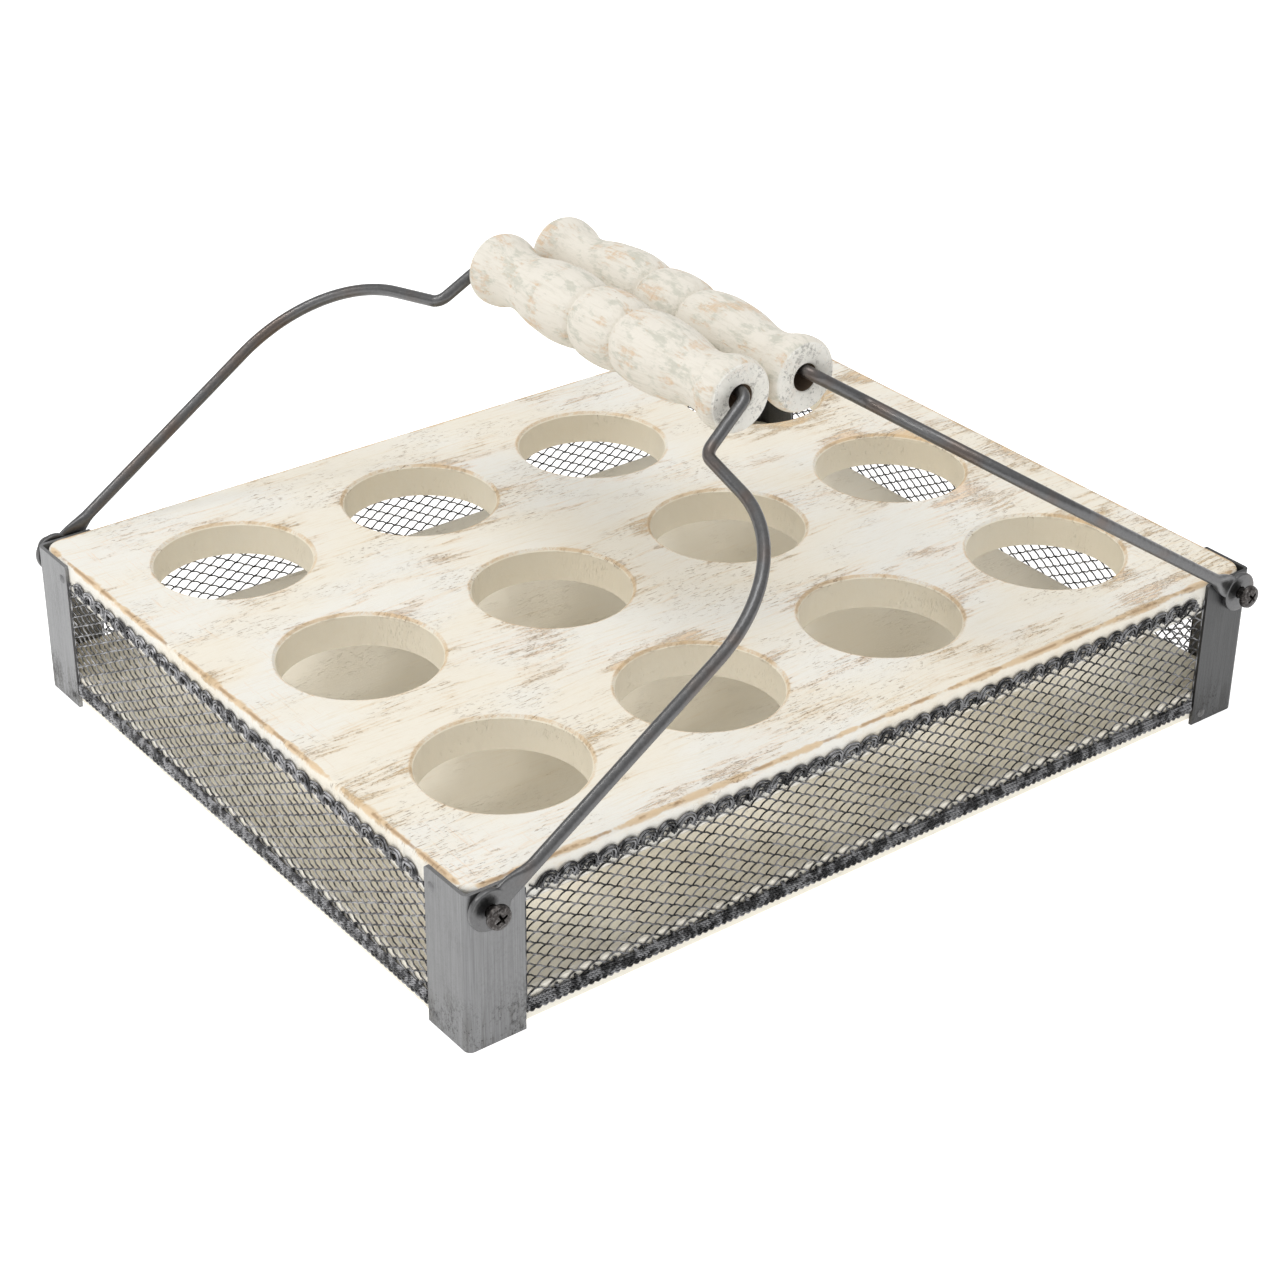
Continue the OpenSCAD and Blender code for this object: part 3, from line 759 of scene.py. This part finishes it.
def handle_route(reach, arm):
    """One half of the rod's middle line as (across, away from the pivots), from the eye up."""
    kink_x = GRIP_LENGTH / 2 + KINK_PAST_GRIP
    rise_x = GRIP_LENGTH / 2 + RISE_PAST_GRIP
    slope = math.radians(SLOPE)
    inward = arm - SHOULDER_R * (1 - math.sin(slope)) - kink_x
    shoulder = reach - KINK_FALL - SHOULDER_R * math.cos(slope) - inward * math.tan(slope)
    kink = np.array((kink_x, reach - KINK_FALL))
    rise = np.array((rise_x, reach))
    steep = math.atan2(kink[1] - rise[1], kink[0] - rise[0])
    bend1, bend2 = 3.5, 4.0
    tan1 = bend1 * math.tan(-steep / 2)
    tan2 = bend2 * math.tan((-slope - steep) / 2)
    along_rise = np.array((math.cos(steep), math.sin(steep)))
    start1 = rise - (tan1, 0)
    start2 = kink - tan2 * along_rise
    centre1 = start1 - (0, bend1)
    centre2 = start2 + bend2 * np.array((-math.sin(steep), math.cos(steep)))
    points = [(arm, v) for v in np.arange(ROD_FOOT, shoulder, 1.0)]
    points += arc((arm - SHOULDER_R, shoulder), SHOULDER_R, 0, 90 - SLOPE, 44)
    last = np.array(points[-1])
    end2 = kink + tan2 * np.array((math.cos(slope), -math.sin(slope)))
    points += [tuple(last + (end2 - last) * t) for t in np.linspace(0.1, 0.92, 8)]
    points += arc(centre2, bend2, -SLOPE - 90, math.degrees(steep) - 90, 12)
    end1 = rise + tan1 * along_rise
    last = np.array(points[-1])
    points += [tuple(last + (end1 - last) * t) for t in np.linspace(0.12, 0.88, 8)]
    points += arc(centre1, bend1, math.degrees(steep) + 90, 90, 12)
    return np.array(points)


def handle(side):
    """Round rod that flattens towards each end and joins a rolled eye there."""
    pivot, direction, reach, outer = handle_frame(side)
    eye_r = float(pivot[2] - box_mm("handle_wire_" + side)[0][2])
    arm = outer - ROD_R
    half = handle_route(reach, arm)
    inside = np.array([(x, reach) for x in np.arange(half[-1][0] - 1.5, 0, -1.5)])
    half = np.concatenate([half, inside])
    route = np.concatenate([half, half[::-1] * (-1, 1)])
    eye_in = arm - ROD_R - 0.1
    flat = np.clip((FLAT_TO - route[:, 1]) / FLAT_FADE, 0, 1)
    flat = flat * flat * (3 - 2 * flat)
    ripple = np.array([smooth_noise(v / 3, a / 3, 3) for a, v in route])
    wide = ROD_R + flat * (PADDLE_SPREAD + PADDLE_UNEVEN * ripple)
    thick = ROD_R + flat * (EYE_T / 2 - 0.06 - ROD_R)
    shift = flat * (eye_in + EYE_T / 2 - arm)
    across = route[:, 0] + np.sign(route[:, 0]) * shift
    points = pivot + across[:, None] * np.array((0, 1, 0)) + route[:, 1][:, None] * direction
    normal = np.cross((0, 1, 0), direction)
    rod = sweep(points, normal, thick, wide, 20, power=2 + 1.6 * flat)
    obj = piece("Handle_wire_" + side, [rod], handle_steel, None, (), 45)
    for end in (-1, 1):
        rim = 0.45
        profile = [(EYE_BORE_R, EYE_CHAMFER), (EYE_BORE_R + EYE_CHAMFER, 0)]
        profile += arc((eye_r - rim, rim), rim, -90, 0, 5)
        profile += arc((eye_r - rim, EYE_T - rim), rim, 0, 90, 5)
        profile += [(EYE_BORE_R + EYE_CHAMFER, EYE_T), (EYE_BORE_R, EYE_T - EYE_CHAMFER)]
        centre = pivot + np.array((0, end * eye_in, 0))
        ring = lathe(profile, centre, (0, end, 0), 48, closed=True)
        boolean(obj, piece("eye", [ring], handle_steel, None, (), 45), "UNION")
    finish_smooth(obj)
    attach(obj, "handle_" + side)
    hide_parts("handle_wire_" + side)


def finish_smooth(obj, angle=40):
    """Smooth shading with a sharp edge wherever faces meet at more than the angle."""
    mesh = bmesh.new()
    mesh.from_mesh(obj.data)
    for face in mesh.faces:
        face.smooth = True
    for edge in mesh.edges:
        if len(edge.link_faces) == 2:
            edge.smooth = edge.calc_face_angle(0) < math.radians(angle)
    mesh.to_mesh(obj.data)
    mesh.free()


handle_steel = rod_steel("Handle_steel", 0.14)
for side in ("left", "right"):
    handle(side)


# ----------------------------------------------------------------------- screws


def cross_cutter(centre, axis, turn):
    """Tapered cross that points inwards along -axis, for the recess of a screw."""
    outline = []
    for quarter in range(4):
        a = turn + math.radians(90 * quarter)
        for u, v in ((2.05, -0.40), (2.05, 0.40), (0.44, 0.44)):
            outline.append((u * math.cos(a) - v * math.sin(a), u * math.sin(a) + v * math.cos(a)))
    axis = np.asarray(axis, float)
    first = np.cross(axis, (0, 0, 1))
    second = np.cross(axis, first)
    points = []
    for scale, depth in ((1.0, 0.6), (0.42, -1.5)):
        for u, v in outline:
            points.append(np.asarray(centre) + axis * depth + first * u * scale + second * v * scale)
    return np.array(points), rings_to_faces(2, len(outline))


def screw(corner, turn):
    """Pan-head screw with a cross recess, standing along Y in its corner."""
    node = "pivot_screw_" + corner
    low, high = box_mm(node)
    middle = (low + high) / 2
    sign = 1 if middle[1] > 0 else -1
    outer = max(abs(low[1]), abs(high[1]))
    inner = min(abs(low[1]), abs(high[1]))
    head = 2.0
    base = outer - head
    shank_r = 1.5
    head_r = (high[0] - low[0]) / 2
    profile = [(0.02, inner), (0.7, inner + 0.6), (shank_r, inner + 2.4), (shank_r, base)]
    profile += [(head_r - 0.35, base), (head_r - 0.08, base + 0.12), (head_r, base + 0.4)]
    profile += [(head_r, base + 0.75), (head_r - 0.12, base + 1.1)]
    profile += [(head_r * math.cos(a), base + 1.1 + (head - 1.1) * math.sin(a))
                for a in np.radians(np.linspace(24, 89.5, 9))]
    centre = np.array((middle[0], 0, middle[2]))
    obj = piece(f"Pivot_screw_{corner}", [lathe(profile, centre, (0, sign, 0), 40)],
                screw_metal, None, (), 35)
    cutter = cross_cutter(centre + np.array((0, sign * outer, 0)), (0, sign, 0), turn)
    boolean(obj, piece("cross", [cutter], screw_metal, None), "DIFFERENCE")
    finish_smooth(obj, 35)
    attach(obj, "tray")
    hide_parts(node)


screw_metal = screw_steel("Screw_steel")
for number, (side_y, side_x) in enumerate(corners):
    screw(f"{side_y}_{side_x}", math.radians(25 + 17 * number))


# ------------------------------------------------------------------------ grips

# Half of a grip's outline, from its middle to its end: share of the half length, share of GRIP_R.
GRIP_STATIONS = [
    (0, 1), (0.08, 0.975), (0.13, 0.92), (0.155, 0.85), (0.17, 0.79), (0.185, 0.85),
    (0.21, 0.91), (0.28, 0.97), (0.38, 1), (0.54, 0.93), (0.7, 0.77), (0.8, 0.80),
    (0.88, 0.93), (0.94, 0.975), (0.98, 0.935), (1, 0.86),
]
BORE_R = 3.6


def curve_through(stations, steps):
    """Catmull-Rom curve through the stations, mirrored at the first and run straight past the last."""
    first = (-stations[1][0], stations[1][1])
    last = tuple(2 * a - b for a, b in zip(stations[-1], stations[-2]))
    line = np.array([first, *stations, last])
    points = []
    for a, b, c, d in zip(line, line[1:], line[2:], line[3:]):
        for t in np.arange(steps) / steps:
            bend = (2 * a - 5 * b + 4 * c - d) * t**2
            twist = (3 * b - 3 * c + d - a) * t**3
            points.append((2 * b + (c - a) * t + bend + twist) / 2)
    return np.array(points + [stations[-1]])


def grip(side):
    """Turned wooden grip with a through hole, slightly uneven as if carved by hand."""
    low, high = box_mm("grip_" + side)
    axis_point = joint_mm(f"grip_{side}_spin")
    half_length = (high[1] - low[1]) / 2
    outline = curve_through(GRIP_STATIONS, 5)
    half = [(r * GRIP_R, d * half_length) for d, r in outline]
    profile = [(r, -d) for r, d in half[::-1]] + half[1:]
    chamfer = 0.35
    for end in (1, -1):
        mouth = [(BORE_R + chamfer, end * half_length), (BORE_R, end * (half_length - chamfer))]
        profile += mouth if end > 0 else mouth[::-1]
    points, faces = lathe(profile, axis_point, (0, 1, 0), 72, closed=True)
    offset = points - axis_point
    radius = np.hypot(offset[:, 0], offset[:, 2])
    for i, p in enumerate(points):
        if radius[i] > BORE_R + 1:
            swell = 0.09 * smooth_noise(p[0] / 5, p[1] / 9, p[2] / 5)
            points[i, 0] += swell * offset[i, 0] / radius[i]
            points[i, 2] += swell * offset[i, 2] / radius[i]
    obj = piece("Grip_" + side, [(points, faces)], grip_wood, "grip_" + side,
                ["grip_" + side], 50)
    # The faces inside the hole get the wood painted near black as shade.
    obj.data.materials.append(bore_painted_shade)
    for face in obj.data.polygons:
        centre = np.array(face.center) / MM - axis_point
        if math.hypot(centre[0], centre[2]) < BORE_R + 0.05:
            face.material_index = 1


grip_wood = grip_paint("Grip_paint")
bore_painted_shade = painted_shade_bore_wood("Grip_bore_painted_shade")
for side in ("left", "right"):
    grip(side)


# ------------------------------------------------------- floor, camera and light


def stage_floor():
    """Plain white floor."""
    size = 4.0
    mesh = bpy.data.meshes.new("Floor")
    square = [(-size, -size, 0), (size, -size, 0), (size, size, 0), (-size, size, 0)]
    mesh.from_pydata(square, [], [(0, 1, 2, 3)])
    s = Shader("Floor_paint")
    cloud = s.noise((300, 300, 300), detail=1)
    pale = s.mix(cloud, (0.70, 0.70, 0.70), (0.72, 0.72, 0.72))
    s.finish(Base_Color=pale, Roughness=0.8, Emission_Color=(1.0, 1.0, 1.0, 1.0), Emission_Strength=0.74)
    mesh.materials.append(s.material)
    floor = bpy.data.objects.new("Floor", mesh)
    bpy.context.scene.collection.objects.link(floor)


def look(obj, place, target, roll=0.0):
    turn = (Vector(target) - Vector(place)).to_track_quat("-Z", "Y")
    obj.matrix_world = Matrix.Translation(place) @ turn.to_matrix().to_4x4() @ Matrix.Rotation(roll, 4, "Z")


def camera():
    """Long lens, from the front left and above, rolled slightly."""
    data = bpy.data.cameras.new("Camera")
    data.sensor_width = 36
    data.lens = 77.16
    data.clip_end = 20
    cam = bpy.data.objects.new("Camera", data)
    bpy.context.scene.collection.objects.link(cam)
    look(cam, (-0.39465, -0.50779, 0.38913), (-0.0242, -0.0308, 0.0400), math.radians(0.70))
    bpy.context.scene.camera = cam


def area_light(name, place, target, size, power, colour=(1, 1, 1)):
    data = bpy.data.lights.new(name, "AREA")
    data.shape = "RECTANGLE"
    data.size, data.size_y = size
    data.energy = power
    data.color = colour
    lamp = bpy.data.objects.new(name, data)
    bpy.context.scene.collection.objects.link(lamp)
    look(lamp, place, target)


def light():
    """Pale surroundings, brighter above, and three soft lamps."""
    world = bpy.data.worlds.new("World")
    world.use_nodes = True
    nodes = world.node_tree.nodes
    place = nodes.new("ShaderNodeTexCoord")
    axes = nodes.new("ShaderNodeSeparateXYZ")
    brightness = nodes.new("ShaderNodeMapRange")
    brightness.inputs["To Min"].default_value = 0.50
    brightness.inputs["To Max"].default_value = 0.90
    world.node_tree.links.new(place.outputs["Generated"], axes.inputs[0])
    world.node_tree.links.new(axes.outputs["Z"], brightness.inputs["Value"])
    world.node_tree.links.new(brightness.outputs["Result"], nodes["Background"].inputs["Strength"])
    nodes["Background"].inputs["Color"].default_value = (1, 1, 1, 1)
    bpy.context.scene.world = world
    target = (0, 0, 0.05)
    area_light("Key", (-0.95, 0.62, 1.25), target, (0.35, 0.35), 4.0, (1.0, 0.985, 0.96))
    area_light("Left", (-1.5, 0.1, 0.75), target, (1.3, 1.0), 2.2)
    area_light("Top", (-0.1, -0.1, 1.5), target, (0.7, 0.7), 5)


stage_floor()
camera()
light()
bpy.context.scene.view_settings.view_transform = "Standard"
